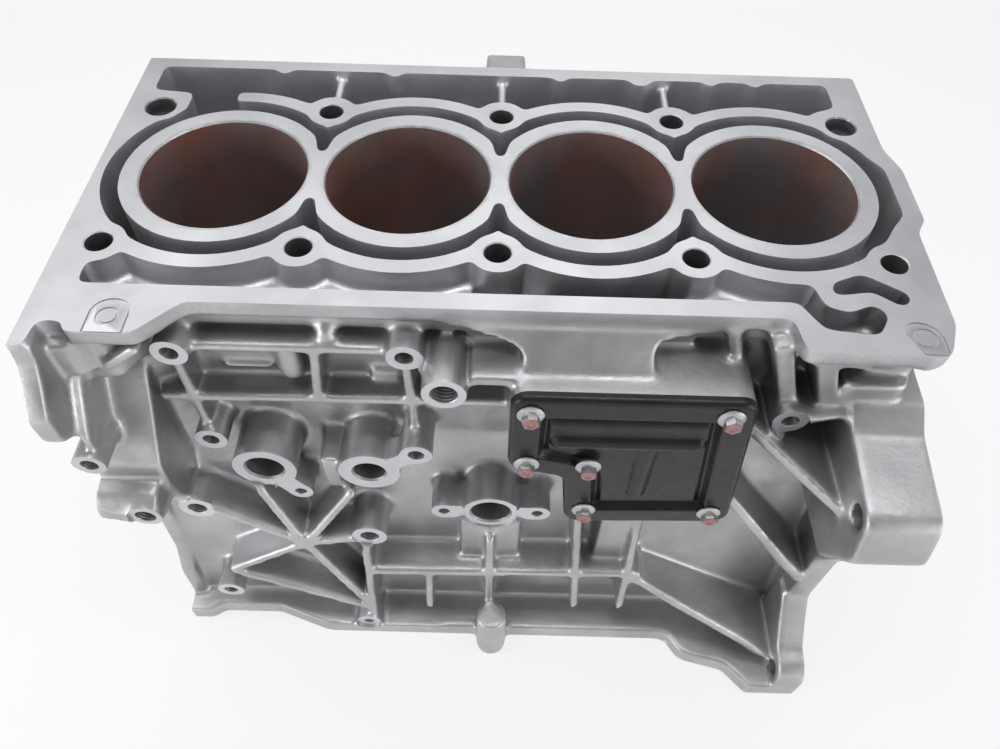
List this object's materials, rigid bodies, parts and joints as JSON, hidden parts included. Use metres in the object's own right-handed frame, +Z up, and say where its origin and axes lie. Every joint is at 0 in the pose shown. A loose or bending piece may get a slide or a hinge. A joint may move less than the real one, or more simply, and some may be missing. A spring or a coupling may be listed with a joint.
{
  "type": "engine block",
  "caption": "Open deck engine block: a cast cylinder block with joined barrels, iron liners, main bearing caps with bolts and a pressed breather cover.",
  "frame": {"origin": "on the crankshaft axis, in the middle of the middle main bearing", "axes": "+X along the crankshaft to the transmission end, +Y to the back, +Z up to the head face"},
  "size_m": [0.3735, 0.2957, 0.262],
  "materials": {
    "cast_aluminium": "sand cast skin with machined faces",
    "liner_iron": "honed, with a dark oil film",
    "cap_iron": "cast with machined faces",
    "bolt_steel": "plain steel",
    "cover_paint": "black paint, half gloss"
  },
  "bodies": {
    "root": {"block_casting": "cast_aluminium", "cylinder_liner_1": "liner_iron", "cylinder_liner_2": "liner_iron", "cylinder_liner_3": "liner_iron", "cylinder_liner_4": "liner_iron", "main_bearing_cap_1": "cap_iron", "main_bearing_cap_2": "cap_iron", "main_bearing_cap_3": "cap_iron", "main_bearing_cap_4": "cap_iron", "main_bearing_cap_5": "cap_iron", "main_cap_bolt_1_front": "bolt_steel", "main_cap_bolt_1_back": "bolt_steel", "main_cap_bolt_2_front": "bolt_steel", "main_cap_bolt_2_back": "bolt_steel", "main_cap_bolt_3_front": "bolt_steel", "main_cap_bolt_3_back": "bolt_steel", "main_cap_bolt_4_front": "bolt_steel", "main_cap_bolt_4_back": "bolt_steel", "main_cap_bolt_5_front": "bolt_steel", "main_cap_bolt_5_back": "bolt_steel", "oil_gallery_plug": "bolt_steel", "breather_cover": "cover_paint"}
  },
  "joints": []
}
